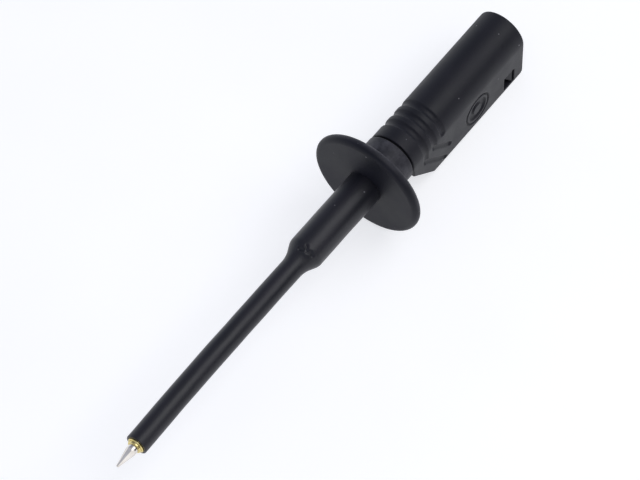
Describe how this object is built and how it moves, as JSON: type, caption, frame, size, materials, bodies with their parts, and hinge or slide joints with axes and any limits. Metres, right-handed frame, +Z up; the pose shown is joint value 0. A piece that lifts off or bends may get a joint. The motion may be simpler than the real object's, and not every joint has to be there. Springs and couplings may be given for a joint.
{
  "type": "spring-loaded test probe",
  "caption": "Hand-held spring-loaded test probe with insulated stem, round finger guard, ribbed keel handle and a rear socket for a 4 mm plug.",
  "frame": {"origin": "centre of the rear socket's mouth, on the probe's axis", "axes": "+X along the axis out of the socket, away from the point; +Z up, opposite the handle's keel"},
  "size_m": [0.133, 0.0266, 0.0266],
  "materials": {
    "nickel_plate": "bright nickel plate",
    "gold_plate": "thin gold plate",
    "brass_turned": "turned",
    "steel_ball": "polished",
    "spring_steel": "drawn wire",
    "zinc_steel": "zinc plate",
    "core_plastic": "moulded",
    "black_shrink_tube": "matt shrink tube",
    "black_guard_plastic": "fine satin moulding",
    "black_handle_plastic": "fine satin moulding",
    "black_rubber": "smooth"
  },
  "bodies": {
    "probe_body": {"plunger_spring": "spring_steel", "spring_barrel": "gold_plate", "barrel_end_plug": "brass_turned", "receptacle_tube": "gold_plate", "contact_rod": "brass_turned", "core_sleeve": "core_plastic", "shrink_sleeve": "black_shrink_tube", "hand_guard": "black_guard_plastic", "guard_snap_ring": "spring_steel", "guard_gasket": "black_rubber", "rod_washer": "zinc_steel", "rod_locknut": "brass_turned", "socket_bush": "nickel_plate", "bush_lock_washer": "zinc_steel", "bush_nut": "brass_turned", "socket_liner": "core_plastic", "handle_shell": "black_handle_plastic", "keel_insert": "black_handle_plastic"},
    "plunger_body": {"plunger": "nickel_plate", "bias_ball": "steel_ball"}
  },
  "joints": [
    {"name": "plunger_slide", "type": "slide", "parent": "probe_body", "child": "plunger_body", "axis": [1, 0, 0], "range_m": [0, 0.004], "stiffness_N_per_m": 400, "springref_m": -0.003, "deforming": ["plunger_spring"]}
  ]
}
